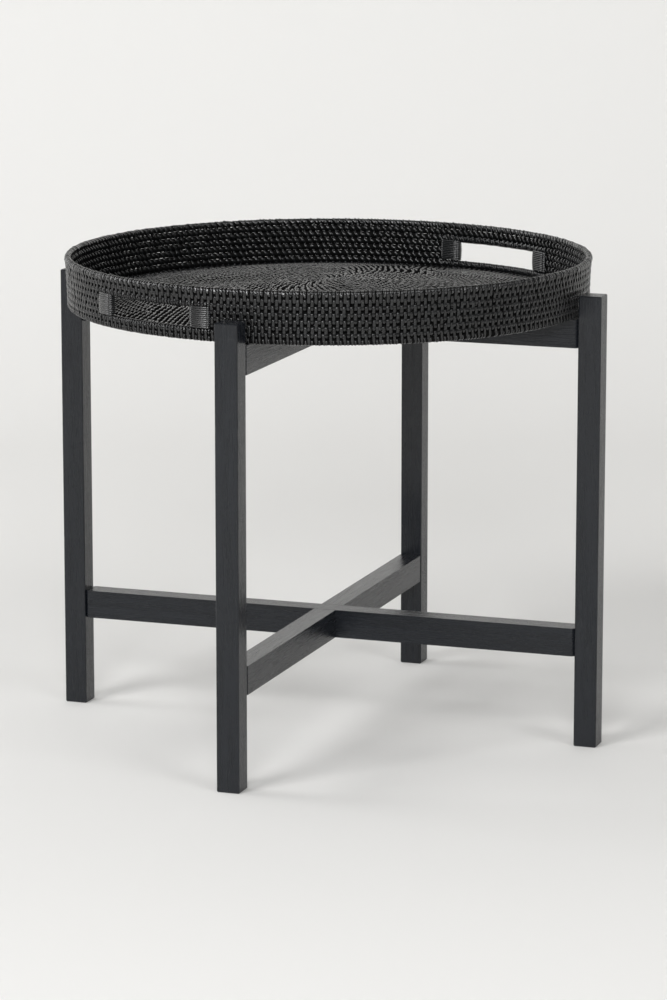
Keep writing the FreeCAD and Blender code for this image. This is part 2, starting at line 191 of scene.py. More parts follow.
def make_sweep():
    """The sweep, turned to face the camera."""
    line = sweep_line()
    left = np.insert(line, 0, -SWEEP_WIDTH / 2, axis=1)
    right = np.insert(line, 0, SWEEP_WIDTH / 2, axis=1)
    count = len(line)
    faces = [(i, i + 1, count + i + 1, count + i) for i in range(count - 1)]
    mesh = bpy.data.meshes.new("sweep")
    mesh.from_pydata(np.vstack([left, right]).tolist(), [], [face[::-1] for face in faces])
    mesh.shade_smooth()
    sweep = bpy.data.objects.new("sweep", mesh)
    bpy.context.scene.collection.objects.link(sweep)
    sweep.rotation_euler = (0, 0, math.radians(CAMERA_TURN))
    return sweep


def backdrop_paper():
    """Matt paper on the front, and clear on the back."""
    paper = Finish("backdrop_paper")
    back_side = paper.node("ShaderNodeNewGeometry", output="Backfacing")
    front = paper.shader(Base_Color=PAPER, Roughness=0.9)
    back = paper.node("ShaderNodeBsdfTransparent")
    return paper.ended(paper.node("ShaderNodeMixShader", sockets={0: back_side, 1: front, 2: back}))


sweep = make_sweep()
sweep.data.materials.append(backdrop_paper())
print("sweep", len(sweep.data.polygons), "faces")

# %% Lamps and world
TABLE_MIDDLE = (0, 0, 0.3)
LAMP_DISTANCE = 7.0
LAMP_SIZE = 2.5
WORLD_COLOUR = (1, 0.995, 0.985, 1)
WORLD_LEVEL = 0.24


def lamp_place(turn, height_angle):
    """A place at the lamps' distance from the table, by its turn from +X and its angle above the floor."""
    turn, height_angle = math.radians(turn), math.radians(height_angle)
    level = LAMP_DISTANCE * math.cos(height_angle)
    rise = LAMP_DISTANCE * math.sin(height_angle)
    return level * math.cos(turn), level * math.sin(turn), TABLE_MIDDLE[2] + rise


def add_lamp(name, turn, height_angle, power):
    """A square soft lamp that faces the middle of the table."""
    place = lamp_place(turn, height_angle)
    data = bpy.data.lights.new(name, "AREA")
    data.shape = "SQUARE"
    data.size = LAMP_SIZE
    data.energy = power
    lamp = bpy.data.objects.new(name, data)
    lamp.location = place
    way = np.subtract(TABLE_MIDDLE, place)
    flat = math.hypot(way[0], way[1])
    lamp.rotation_euler = (math.atan2(flat, -way[2]), 0, math.atan2(way[1], way[0]) - math.pi / 2)
    bpy.context.scene.collection.objects.link(lamp)


add_lamp("window_lamp", turn=-115, height_angle=35, power=205)
add_lamp("front_lamp", turn=-75, height_angle=20, power=236)
add_lamp("right_lamp", turn=-30, height_angle=35, power=80)
add_lamp("left_lamp", turn=180, height_angle=35, power=110)

world = bpy.data.worlds.new("studio")
world.use_nodes = True
background = world.node_tree.nodes["Background"]
background.inputs["Color"].default_value = WORLD_COLOUR
background.inputs["Strength"].default_value = WORLD_LEVEL
bpy.context.scene.world = world
bpy.context.scene.view_settings.view_transform = "Standard"
print("lamps", [lamp.name for lamp in bpy.data.lights])

# %% [markdown]
# ## Stained wood
#
# The stand is open-grained hardwood under black stain. The stain evens the colour out, so the grain
# shows mostly as fine furrows that run along each bar, and as slightly paler ridges between them.
# A noise stretched along the bar gives such furrows without any picture. The stretch needs the
# bar's own direction, so there is one finish for each of the three directions.

# %% Stained wood
WOOD_DARK = (0.0036, 0.0047, 0.0068)
WOOD_LIGHT = (0.0090, 0.0110, 0.0150)
GRAIN_STRETCH = 24
PORES_PER_METRE = 900
FIGURE_PER_METRE = 130
FURROW_END = 0.38
RIDGE_START = 0.62


def stained_wood(axis):
    """The finish of bars that lie along one axis."""
    wood = Finish(f"stained_wood_along_{axis}")
    place = wood.node("ShaderNodeTexCoord", output="Object")

    def streaks(per_metre, detail):
        """Noise this fine across the bar, and stretched along it."""
        scale = [per_metre] * 3
        scale["xyz".index(axis)] = per_metre / GRAIN_STRETCH
        stretched = wood.node("ShaderNodeVectorMath", {"operation": "MULTIPLY"}, {0: place, 1: scale})
        sockets = {"Vector": stretched, "Scale": 1, "Detail": detail, "Roughness": 0.6}
        return wood.node("ShaderNodeTexNoise", sockets=sockets)

    pores = streaks(PORES_PER_METRE, 3)
    figure = streaks(FIGURE_PER_METRE, 4)
    stops = [(FURROW_END, 0), (RIDGE_START, 1)]
    ridges = wood.node("ShaderNodeValToRGB", {"stops": stops}, {0: pores * 0.6 + figure * 0.4})
    bump = {"Strength": 0.35, "Distance": 0.0004, "Height": ridges}
    return wood.surface(
        Base_Color=wood.colours(ridges, WOOD_DARK, WOOD_LIGHT),
        Roughness=0.30 - ridges * 0.08,
        Specular_IOR_Level=0.42,
        Normal=wood.node("ShaderNodeBump", sockets=bump),
    )


BAR_AXES = {
    "x": ["long_lower_rail", "long_upper_rail"],
    "y": ["front_lower_rail", "front_upper_rail", "back_lower_rail", "back_upper_rail"],
    "z": ["leg_left", "leg_right", "leg_front", "leg_back"],
}


def finish_node(name, material):
    """Gives a node of the engineering model its material, and leaves its shape alone."""
    for slot in nodes[name].material_slots:
        slot.material = material


for axis, bars in BAR_AXES.items():
    wood_finish = stained_wood(axis)
    for bar in bars:
        finish_node(bar, wood_finish)
    print("grain along", axis, "on", len(bars), "bars")

# %% [markdown]
# ## Hinges, screws and dowels
#
# These small parts sit inside the joints. The leaves are blackened steel with a faint mottle where
# the blacking took unevenly, the pins and screws are the same but more rubbed, and the dowels are
# bare beech. One function with a few sizes serves all three.

# %% Small parts


def mottled(name, dark, light, metallic, roughness, spots_per_metre):
    """A finish of soft spots, paler and rougher than the ground between them."""
    finish = Finish(name)
    place = finish.node("ShaderNodeTexCoord", output="Object")
    sockets = {"Vector": place, "Scale": spots_per_metre, "Detail": 4}
    spots = finish.node("ShaderNodeTexNoise", sockets=sockets)
    return finish.surface(
        Base_Color=finish.colours(spots, dark, light),
        Metallic=metallic,
        Roughness=roughness + spots * 0.2,
    )


blacked_leaf = mottled("blacked_leaf", (0.03, 0.03, 0.032), (0.16, 0.16, 0.16), 0.9, 0.4, 420)
rubbed_steel = mottled("rubbed_steel", (0.10, 0.10, 0.10), (0.26, 0.26, 0.26), 1.0, 0.25, 600)
bare_beech = mottled("bare_beech", (0.50, 0.34, 0.20), (0.72, 0.54, 0.36), 0.0, 0.5, 300)

for name in nodes:
    if name.endswith("leaf"):
        finish_node(name, blacked_leaf)
    elif name.endswith(("pin", "screws")):
        finish_node(name, rubbed_steel)
    elif name.endswith("dowels"):
        finish_node(name, bare_beech)
print("small parts finished")

# %% [markdown]
# ## The tray's line of coils
#
# A coiled tray is one long core, wound round and round: outwards for the floor, then upwards for
# the wall. Cut through once, it is a row of round ends, from the middle of the floor out to the
# edge and up to the rim. Everything on the tray is placed by that row, so it is worked out first,
# as the radius and height of each coil, from the boxes of the plain rings. The coils are counted
# outwards from the middle: the floor's, the one at the edge, the wall's base, three that the hand
# holes cut through, two above them, and the rim.

# %% Row of coils


def spots(node):
    """A node's points."""
    return np.array([vertex.co for vertex in nodes[node].data.vertices])


def radii(node):
    """How far each of a node's points is from the middle."""
    return np.hypot(spots(node)[:, 0], spots(node)[:, 1])


def height_range(node):
    """The lowest and the highest level of a node."""
    low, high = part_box(node)
    return low.z, high.z


tray_base, dome_top = height_range("tray_floor")
base_low, base_high = height_range("wall_base_coil")
rim_low, rim_high = height_range("tray_rim")
PITCH = base_high - base_low
LEVELS = round((rim_high - tray_base) / PITCH)
base_outer = radii("wall_base_coil").max()
top_outer = radii("wall_top_coils").max()
rim_bulge = radii("tray_rim").max() - top_outer
lean = (top_outer - base_outer) / (rim_low - base_high)

CORE_ACROSS = 0.0031
CORE_ALONG = 0.00342
STRIP_THICKNESS = 0.0005
WALL_INSET = CORE_ACROSS + STRIP_THICKNESS
LOOSENESS = 0.0003
SAME_LEVEL = 1e-5

floor_points = spots("tray_floor")
on_shelf = np.abs(floor_points[:, 2] - base_low) < SAME_LEVEL
dome_radius = radii("tray_floor")[on_shelf].min()
dome_rise = dome_top - base_low
ball = (dome_radius**2 + dome_rise**2) / (2 * dome_rise)


def dome(radius):
    """How far the floor is raised at a radius."""
    inside = np.minimum(radius, dome_radius)
    return dome_rise - ball + np.sqrt(ball**2 - inside**2)


level_heights = tray_base + PITCH * (np.arange(LEVELS) + 0.5)
level_heights[0] = tray_base + WALL_INSET + LOOSENESS
level_radii = base_outer + lean * (level_heights - base_high) - WALL_INSET
level_radii[-1] += rim_bulge
FLOOR_COILS = math.ceil(level_radii[0] / PITCH - 0.5)
floor_pitch = level_radii[0] / (FLOOR_COILS + 0.5)
floor_radii = floor_pitch * (np.arange(FLOOR_COILS) + 0.5)
floor_row = np.stack([floor_radii, level_heights[0] + dome(floor_radii)], axis=1)
wall_row = np.stack([level_radii, level_heights], axis=1)
row = np.vstack([floor_row, wall_row])
EDGE = FLOOR_COILS
BASE = EDGE + 1
HANDLE = range(EDGE + 2, EDGE + 5)
TOP = range(EDGE + 5, EDGE + 7)
RIM = EDGE + 7


def heading(coil, other):
    """The direction in the side view from one coil to another."""
    step = row[other] - row[coil]
    return math.atan2(step[1], step[0])


def heading_in(coil):
    """The direction in which the row comes to a coil."""
    return 0.0 if coil == 0 else heading(coil - 1, coil)


def heading_out(coil):
    """The direction in which the row leaves a coil."""
    return math.pi / 2 if coil == RIM else heading(coil, coil + 1)


def on_core(coil, turn):
    """The points of a coil's surface that face these directions in the side view, and the directions."""
    out = np.stack([np.cos(turn), np.sin(turn)], axis=-1)
    lie = (heading_in(coil) + heading_out(coil)) / 2
    along = np.array([math.cos(lie), math.sin(lie)])
    across = np.array([math.sin(lie), -math.cos(lie)])
    far, near = out @ along * CORE_ALONG, out @ across * CORE_ACROSS
    reach = np.hypot(far, near)
    local_along = (far * CORE_ALONG / reach)[..., None] * along
    local_across = (near * CORE_ACROSS / reach)[..., None] * across
    return row[coil] + (local_along + local_across), out


print("coils:", FLOOR_COILS, "in the floor,", LEVELS, "in the wall, pitch", round(PITCH * 1000, 2), "mm")

# %% [markdown]
# ## Meshes from rows of points
#
# The tray needs thousands of strips, so each batch is worked out at once as one array of points:
# strip by strip, step by step along it, and point by point round its section. The section of split
# cane is flat underneath and crowned on top. Each strip is a closed skin. Three numbers ride on each
# point for the finish: the place across the strip, the place along it, and a shade for the strip.
# The points of a section are in parts of the strip's width and of its thickness.

# %% Strips
HALF_CANE = [(0.2, 0.96), (0.45, 0.58), (0.5, 0.0)]
CANE_SECTION = np.array([(-across, rise) for across, rise in HALF_CANE[::-1]] + HALF_CANE)
ROUND_SECTION = np.array([(-math.cos(turn) / 2, math.sin(turn)) for turn in np.linspace(0, math.pi, 6)])
MILLIMETRES = 1000
CELLS_PER_STRIP = 4
CELL_EDGE = 0.05
END_WIDTH = 0.35
END_LENGTH = 0.2


def unit(vectors):
    """The same directions, one long."""
    return vectors / np.linalg.norm(vectors, axis=-1, keepdims=True)


def strip_points(path, out, width, thickness, section):
    """The points of strips whose undersides follow the paths, with their tops towards out."""
    across = unit(np.cross(np.gradient(path, axis=1), out))
    side = section[:, 0, None] * width[:, :, None, None]
    lift = section[:, 1, None] * thickness[:, :, None, None]
    return path[:, :, None] + across[:, :, None] * side + out[:, :, None] * lift


def strip_faces(strips, steps, corners):
    """Faces of closed strips: the sides, then both ends."""
    first = np.arange(strips)[:, None, None] * steps * corners
    here = first + np.arange(steps - 1)[:, None] * corners
    corner = np.arange(corners)
    after = (corner + 1) % corners
    sides = np.stack([here + corner, here + after, here + after + corners, here + corner + corners], axis=-1)
    start = first[:, 0] + corner[::-1]
    end = first[:, 0] + (steps - 1) * corners + corner
    return sides.reshape(-1, 4).tolist() + np.stack([start, end], axis=1).reshape(-1, corners).tolist()


def strip_cloth(strips, steps, corners):
    """Each strip's own small rectangle of a square sheet, so that a finish can be painted on it."""
    columns = math.ceil(math.sqrt(strips * CELLS_PER_STRIP))
    rows = math.ceil(strips / columns)
    cell = np.stack(np.divmod(np.arange(strips), columns)[::-1], axis=1)[:, None, None, None]
    step = np.arange(steps - 1)[:, None, None]
    corner = np.arange(corners)[None, :, None]
    turn = corner + np.array([0, 1, 1, 0])
    length = step + np.array([0, 0, 1, 1])
    inside = np.stack(np.broadcast_arrays(turn / (corners + 1), length / (steps - 1)), axis=-1)
    round_end = np.arange(corners) * 2 * math.pi / corners
    ends = []
    for middle, turning in ((0.25, -1), (0.75, 1)):
        across = (corners + 0.5 + END_WIDTH * np.cos(turning * round_end)) / (corners + 1)
        ends.append(np.stack([across, middle + END_LENGTH * np.sin(turning * round_end)], axis=1))
    size = np.array([columns, rows])
    room = 1 - 2 * CELL_EDGE
    side_map = (cell + CELL_EDGE + room * inside[None]) / size
    end_map = (cell[:, 0, 0][:, :, None] + CELL_EDGE + room * np.array(ends)[None]) / size
    return np.vstack([side_map.reshape(-1, 2), end_map.reshape(-1, 2)])


def strip_piece(name, path, out, width, thickness, shade, material, section):
    """A batch of strips as one piece, on the tray."""
    points = strip_points(path, out, width, thickness, section)
    strips, steps, corners, _ = points.shape
    mesh = bpy.data.meshes.new(name)
    mesh.from_pydata(points.reshape(-1, 3).tolist(), [], strip_faces(strips, steps, corners))
    mesh.shade_smooth()
    lengths = np.linalg.norm(np.diff(path, axis=1), axis=2).cumsum(axis=1)
    along = np.insert(lengths, 0, 0, axis=1)[:, :, None]
    across = section[:, 0] * width[:, :, None]
    tone = shade[:, None, None]
    cane = np.stack(np.broadcast_arrays(across * MILLIMETRES, along * MILLIMETRES, tone), axis=-1)
    mesh.attributes.new("cane", "FLOAT_VECTOR", "POINT").data.foreach_set("vector", cane.ravel())
    cloth = strip_cloth(strips, steps, corners)
    mesh.uv_layers.new(name="OFBake").uv.foreach_set("vector", cloth.ravel())
    mesh.materials.append(material)
    return add_piece(name, mesh)


def add_piece(name, mesh):
    """A mesh as a piece that moves with the tray."""
    piece = bpy.data.objects.new(name, mesh)
    bpy.context.scene.collection.objects.link(piece)
    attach(piece, "tray")
    print(name, len(mesh.polygons), "faces")
    return piece


# %% [markdown]
# ## Cane and core
#
# Both are the same palm, dyed black and lacquered. The strips are its glossy bark, split flat, with
# fine fibres along them and a tone that differs from strip to strip. Their lacquer is thin on the
# wall, and full on the floor, the rim and the posts. The core under them is duller and, down between
# the strips, almost black.

# %% Cane and core
CANE_DARK = (0.0015, 0.0015, 0.0018)
CANE_LIGHT = (0.0080, 0.0088, 0.0096)
FIBRE_STRETCH = (3.0, 0.12, 40.0)
CORE_DARK = (0.003, 0.003, 0.003)
CORE_LIGHT = (0.008, 0.008, 0.008)
CORE_PATCHES_PER_METRE = 260


def lacquered_cane(name, coat, gloss):
    """Cane bark under a lacquer coat of this weight, with this much gloss of its own."""
    cane = Finish(name)
    carried = cane.node("ShaderNodeAttribute", {"attribute_name": "cane"}, output="Vector")
    shade = cane.node("ShaderNodeSeparateXYZ", sockets={0: carried}, output="Z")
    stretch = {0: carried, 1: FIBRE_STRETCH}
    fibre_place = cane.node("ShaderNodeVectorMath", {"operation": "MULTIPLY"}, stretch)
    fibres = cane.node("ShaderNodeTexNoise", sockets={"Vector": fibre_place, "Scale": 1, "Detail": 3})
    bump = {"Strength": 0.3, "Distance": 0.0002, "Height": fibres}
    return cane.surface(
        Base_Color=cane.colours(shade * 0.7 + fibres * 0.3, CANE_DARK, CANE_LIGHT),
        Roughness=0.08 + shade * 0.10 + fibres * 0.06,
        Specular_IOR_Level=gloss,
        Coat_Weight=coat,
        Coat_Roughness=0.08,
        Normal=cane.node("ShaderNodeBump", sockets=bump),
    )


def dyed_core():
    """Dull black core, a little patchy."""
    core = Finish("dyed_core")
    place = core.node("ShaderNodeTexCoord", output="Object")
    sockets = {"Vector": place, "Scale": CORE_PATCHES_PER_METRE, "Detail": 3}
    patches = core.node("ShaderNodeTexNoise", sockets=sockets)
    return core.surface(
        Base_Color=core.colours(patches, CORE_DARK, CORE_LIGHT),
        Roughness=0.6 + patches * 0.2,
        Specular_IOR_Level=0.0,
    )


wall_finish = lacquered_cane("thin_lacquer", coat=0.2, gloss=0.45)
full_finish = lacquered_cane("full_lacquer", coat=0.6, gloss=0.65)
core_finish = dyed_core()
print("finishes", wall_finish.name, full_finish.name, core_finish.name)

# %% [markdown]
# ## Core
#
# The core is a round rod, so each coil is a tube bent into a ring. Where a hand hole interrupts the
# wall the tube stops at the posts. A coil is drawn as its own ring, because the climb of one coil
# per turn is too slight to see. A few waves of a fraction of a millimetre make it uneven.

# %% Core rings
CORE_CORNERS = 12
RING_STEP = 0.006
FULL_TURN = 2 * math.pi
CORE_UNEVEN = 0.00005
FEWEST_STEPS = 16
WAVES = 6
WAVES_ROUND = (20, 120)
chance = np.random.default_rng(11)


def uneven(angles, rough):
    """A smooth wandering round a ring, about as often down as up."""
    waves = chance.integers(*WAVES_ROUND, WAVES)[:, None]
    starts = chance.uniform(0, FULL_TURN, WAVES)[:, None]
    return rough * np.sin(waves * angles[:, 0] + starts).sum(axis=0)[:, None]


def core_ring(coil, start, span):
    """Points and faces of one coil of core over a span of angles."""
    steps = max(FEWEST_STEPS, round(span * row[coil, 0] / RING_STEP))
    closed = span > FULL_TURN - 1e-6
    angles = start + np.linspace(0, span, steps, endpoint=not closed)[:, None]
    section, out = on_core(coil, np.arange(CORE_CORNERS) * FULL_TURN / CORE_CORNERS)
    swell = uneven(angles, CORE_UNEVEN)
    reach = section[:, 0] + out[:, 0] * swell
    level = section[:, 1] + out[:, 1] * swell
    points = np.stack([reach * np.cos(angles), reach * np.sin(angles), level], axis=-1)
    here = np.arange(steps if closed else steps - 1)[:, None]
    corner = np.arange(CORE_CORNERS)
    after = (corner + 1) % CORE_CORNERS
    there = (here + 1) % steps
    size = CORE_CORNERS
    sides = [here * size + corner, there * size + corner, there * size + after, here * size + after]
    faces = np.stack(sides, axis=-1).reshape(-1, 4).tolist()
    if not closed:
        faces += [corner.tolist(), ((steps - 1) * size + corner[::-1]).tolist()]
    return points.reshape(-1, 3), faces


def core_piece(name, coils, spans, *replaced):
    """The core of some coils of the row, over each of the spans of angles, as one piece."""
    points, faces = [], []
    for coil in coils:
        for start, end in spans:
            ring_points, ring_faces = core_ring(coil, start, end - start)
            first = sum(map(len, points))
            points.append(ring_points)
            faces += [[first + corner for corner in face] for face in ring_faces]
    mesh = bpy.data.meshes.new(name)
    mesh.from_pydata(np.vstack(points).tolist(), [], faces)
    mesh.shade_smooth()
    mesh.materials.append(core_finish)
    piece = add_piece(name, mesh)
    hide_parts(*replaced)


def angle_range(node):
    """The first and last angle that a node covers about the middle, for one under half a turn."""
    low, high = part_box(node)
    middle = math.atan2(low.y + high.y, low.x + high.x)
    points = spots(node)
    angles = np.arctan2(points[:, 1], points[:, 0]) - middle
    angles = (angles + math.pi) % FULL_TURN - math.pi
    return middle + angles.min(), middle + angles.max()


HOLES = {}
for side in ("right", "left"):
    near = angle_range(f"{side}_handle_near_post")
    far = angle_range(f"{side}_handle_far_post")
    shift = FULL_TURN * round((near[0] - far[0]) / FULL_TURN)
    HOLES[side] = (near[0], far[1] + shift)
right_hole, left_hole = HOLES["right"], HOLES["left"]
turn_up = FULL_TURN * math.ceil((right_hole[1] - left_hole[0]) / FULL_TURN)
SIDE_SPANS = {
    "left": (right_hole[1], left_hole[0] + turn_up),
    "right": (left_hole[1] + turn_up, right_hole[0] + FULL_TURN),
}
print("hand holes", {side: [round(math.degrees(a), 1) for a in hole] for side, hole in HOLES.items()})

WHOLE = [(0, FULL_TURN)]
core_piece("floor_core", range(EDGE + 1), WHOLE, "tray_floor")
core_piece("base_core", [BASE], WHOLE, "wall_base_coil")
core_piece("left_side_core", HANDLE, [SIDE_SPANS["left"]], "side_wall_left")
core_piece("right_side_core", HANDLE, [SIDE_SPANS["right"]], "side_wall_right")
core_piece("top_core", TOP, WHOLE, "wall_top_coils")
core_piece("rim_core", [RIM], WHOLE, "tray_rim")

# %% [markdown]
# ## The path of a stitch
#
# A stitch lashes a coil to the one before. It comes out through a hole under the older coil, runs
# straight over the outside of both, goes in through a hole above the newer coil, and slants back
# over the inside to the next hole. Its side view is made of arcs about the two coils, worked out
# from the row. An awl forces each hole open, so the strip leaves the coil's surface well before
# the groove and the hole's mouth stays dark. On the inside the slant brings each stitch over the
# row before, so it lies one layer higher there. A dip is the part of the arc next to the groove
# between two coils that the strip leaves out, because it bridges the groove. A single wrap round one
# coil has neither mouths nor dips.

# %% Stitch path
QUARTER = math.pi / 2
ARC_POINTS = 5
HOLE_MOUTH = math.radians(60)
OUTER_DIP = math.radians(22)
INNER_DIP = math.radians(52)
HOLE_DEPTH = 0.0023


def arc_about(coil, start, end, lift):
    """Points and outward directions of an arc about a coil, between two directions."""
    points, out = on_core(coil, np.linspace(start, end, ARC_POINTS))
    return points + out * np.linspace(*lift, ARC_POINTS)[:, None], out


def dive(coil, hole):
    """The point inside a coil, near its hole, where a strip is out of sight."""
    out = np.array([[math.cos(hole), math.sin(hole)]])
    return row[coil] + out * HOLE_DEPTH, out


def side_view(first, last):
    """The outer and the inner half of a stitch round the first to the last coil, from hole to hole."""
    alone = first == last
    way = heading_out(first) if alone else heading(first, last)
    low_hole, high_hole = heading_in(first) - math.pi, heading_out(last)
    outer_dip, inner_dip = (0, 0) if alone else (OUTER_DIP, INNER_DIP)
    layer = 0 if alone else STRIP_THICKNESS
    low_mouth = 0 if alone else HOLE_MOUTH
    high_mouth = 0 if alone or last == RIM else HOLE_MOUTH
    outer = [
        dive(first, low_hole),
        arc_about(first, low_hole + low_mouth, way - QUARTER + outer_dip, (0, 0)),
        arc_about(last, way - QUARTER - outer_dip, high_hole - high_mouth, (0, 0)),
    ]
    inner = [
        arc_about(last, high_hole + high_mouth, way + QUARTER + inner_dip, (0, 0)),
        arc_about(first, way + QUARTER - inner_dip, low_hole + FULL_TURN - low_mouth, (layer, layer / 2)),
        dive(first, low_hole),
    ]
    if high_mouth:
        outer.append(dive(last, high_hole))
        inner.insert(0, dive(last, high_hole))
    return [[np.vstack(parts) for parts in zip(*half)] for half in (outer, inner)]


halves = side_view(BASE, BASE + 1)
print("a stitch's side view has", sum(len(points) for points, _ in halves), "points")

# %% [markdown]
# ## Stitches in batches
#
# One side view serves a whole row of stitches: each is that view, set up at its own hole's angle.
# On the inner half the angle falls back by one hole, fastest near the holes. On the outside the
# strips spread flat over the crown of each coil until they almost touch, and fold narrower where they
# dip between two coils. A little chance in the lean, width, lift, thickness and shade keeps the rows
# from looking printed, and it is seeded, so every run gives the same tray. No strip sinks so far that
# the core swallows it.

# %% Batches of stitches
CANE_WIDTH = 0.0022
INSIDE_WIDER = 0.25
SPREAD = 0.46
SLANT_WAVE = 0.6
STITCH_ROUGH = 0.0001
LEAN_CHANCE = 0.05
WIDTH_CHANCE = (0.92, 1.05)
THICKNESS_CHANCE = (0.85, 1.15)
DEEPEST = -STRIP_THICKNESS / 2


def travel(half, way):
    """How far along each point of half a side view lies, from one hole to the other."""
    along = half @ np.array([math.cos(way), math.sin(way)])
    return np.clip((along - along[0]) / (along[-1] - along[0]), 0, 1)


def stitch_batch(first, last, holes, gaps, lean=0.0, fall=1.0, rough=STITCH_ROUGH, narrow=CANE_WIDTH):
    """Path, outward directions, width, thickness and shade of stitches that start at these holes."""
    (outer, outer_out), (inner, inner_out) = side_view(first, last)
    way = heading_out(first) if first == last else heading(first, last)
    view, out = np.vstack([outer, inner[1:]]), np.vstack([outer_out, inner_out[1:]])
    count = len(holes)
    leans = lean + chance.normal(0, LEAN_CHANCE, count)[:, None]
    rising, falling = travel(outer, way), travel(inner, way)[1:]
    crowns = 1 if first == last else 2
    flat = 1 - np.clip(np.cos(FULL_TURN * crowns * np.hstack([rising, 0 * falling])), 0, 1)
    back = falling + SLANT_WAVE * np.sin(FULL_TURN * falling) / FULL_TURN
    up = rising * leans
    down = leans - back * (fall + leans)
    angles = holes[:, None] + gaps[:, None] * np.hstack([up, down])
    lift = np.maximum(chance.normal(0, rough, count), DEEPEST)[:, None]
    reach = view[:, 0] + out[:, 0] * lift
    level = view[:, 1] + out[:, 1] * lift
    path = np.stack([reach * np.cos(angles), reach * np.sin(angles), level], axis=-1)
    upward = np.broadcast_to(out[:, 1], angles.shape)
    facing = np.stack([out[:, 0] * np.cos(angles), out[:, 0] * np.sin(angles), upward], axis=-1)
    spread = np.maximum(SPREAD * gaps[:, None] * reach - narrow, 0) * flat
    inside = np.hstack([0 * rising, 1 + 0 * falling])
    even_width = narrow * (1 + INSIDE_WIDER * inside) + spread
    width = even_width * chance.uniform(*WIDTH_CHANCE, count)[:, None]
    thickness = STRIP_THICKNESS * chance.uniform(*THICKNESS_CHANCE, count)[:, None] * np.ones_like(angles)
    return path, facing, width, thickness, chance.uniform(0, 1, count)


def joined(batches):
    """Batches of the same shape as one."""
    return [np.concatenate(parts) for parts in zip(*batches)]


def gap_before(holes):
    """From each hole back to the one before, round the ring."""
    return (holes - np.roll(holes, 1)) % FULL_TURN


def stitch_piece(name, batch, section=CANE_SECTION, finish=wall_finish):
    """A batch of stitches as one piece."""
    return strip_piece(name, *batch, finish, section)


# %% [markdown]
# ## Where the holes are
#
# The rows are set out from the rim inwards. Each row's stitches cross a coil midway between those
# of the row after it, so the holes are staggered. All rows of the wall have the same number of
# stitches. Over the floor the rings get shorter, so each row has a few stitches fewer than the next.
# There pairs are merged, at places spread round the ring from a start left to chance, and their
# neighbours move up to even out the gap, as a weaver does. The two rows at the edge lean, because
# they turn with the floor's slant. A leaning stitch crosses its lower coil a quarter of the way along
# and its upper coil three quarters of the way.

# %% Holes of every row
WALL_PITCH = 0.0071
FLOOR_PITCH = 0.0074
FEWEST = 11
EVENING = 2
LEANS = {EDGE - 1: -0.3, EDGE: -0.1}
LOWER_CROSSING = 0.25
UPPER_CROSSING = 0.75


def pitch_of(coil):
    """The room for each stitch in the row that starts at a coil."""
    return FLOOR_PITCH if coil < EDGE - 1 else WALL_PITCH


def stitches_of(coil):
    """How many stitches a row has. All rows of the wall have as many as its base."""
    inner = min(coil, EDGE)
    ring = FULL_TURN * (row[inner, 0] + row[inner + 1, 0]) / 2
    return max(FEWEST, round(ring / pitch_of(coil)))


def evened(holes):
    """The same places, each drawn towards the middle of its neighbours a few times over."""
    holes = np.sort(holes)
    for _ in range(EVENING):
        ahead = (np.roll(holes, -1) - holes) % FULL_TURN
        holes = holes + (ahead - gap_before(holes)) / 4
    return holes


def thin_out(holes, count):
    """Places between these ones, with pairs merged to leave this many."""
    before = np.roll(holes, 1)
    middles = np.sort(((holes + before + np.where(holes < before, FULL_TURN, 0)) / 2) % FULL_TURN)
    extra = len(middles) - count
    if extra <= 0:
        return middles
    places = (np.arange(extra) + chance.uniform(0, 1)) * len(middles) / extra
    for place in sorted({int(place) % len(middles) for place in places}, reverse=True):
        gap = (middles[place] - middles[place - 1]) % FULL_TURN
        middles[place - 1] = (middles[place - 1] + gap / 2) % FULL_TURN
        middles = np.delete(middles, place)
    return evened(middles)


def row_inside(coil, outer_holes):
    """The holes of the row that starts at a coil, from those of the row that starts at the next one."""
    crossing = outer_holes + LOWER_CROSSING * LEANS.get(coil + 1, 0) * gap_before(outer_holes)
    between = thin_out(np.sort(crossing % FULL_TURN), stitches_of(coil))
    return np.sort((between - UPPER_CROSSING * LEANS.get(coil, 0) * gap_before(between)) % FULL_TURN)


LAST_ROW = RIM - 1
HOLE_ANGLES = {LAST_ROW: np.arange(stitches_of(LAST_ROW)) * FULL_TURN / stitches_of(LAST_ROW)}
for coil in range(LAST_ROW - 1, -1, -1):
    HOLE_ANGLES[coil] = row_inside(coil, HOLE_ANGLES[coil + 1])
HOLE_ANGLES[RIM] = thin_out(HOLE_ANGLES[LAST_ROW], stitches_of(LAST_ROW))
print("stitches in the wall's rows:", [len(HOLE_ANGLES[coil]) for coil in range(EDGE, RIM + 1)])

# %% [markdown]
# ## Wall stitches
#
# The rows of the wall are one piece each, and the ones beside the hand holes leave them out. Single
# wraps round one coil finish the rim and the lower and upper edges of the hand holes.

# %% Wall stitches
WANDER = 0.035
RIM_ROUGH = 0.0002


def outside_hand_holes(angles):
    """Which of these angles are clear of the hand holes and their posts."""
    clear = np.ones(len(angles), bool)
    for first, last in HOLES.values():
        clear &= (angles - first) % FULL_TURN > last - first
    return clear


def at_hand_holes(angles):
    """Which of these angles are at a hand hole or its posts."""
    return ~outside_hand_holes(angles)


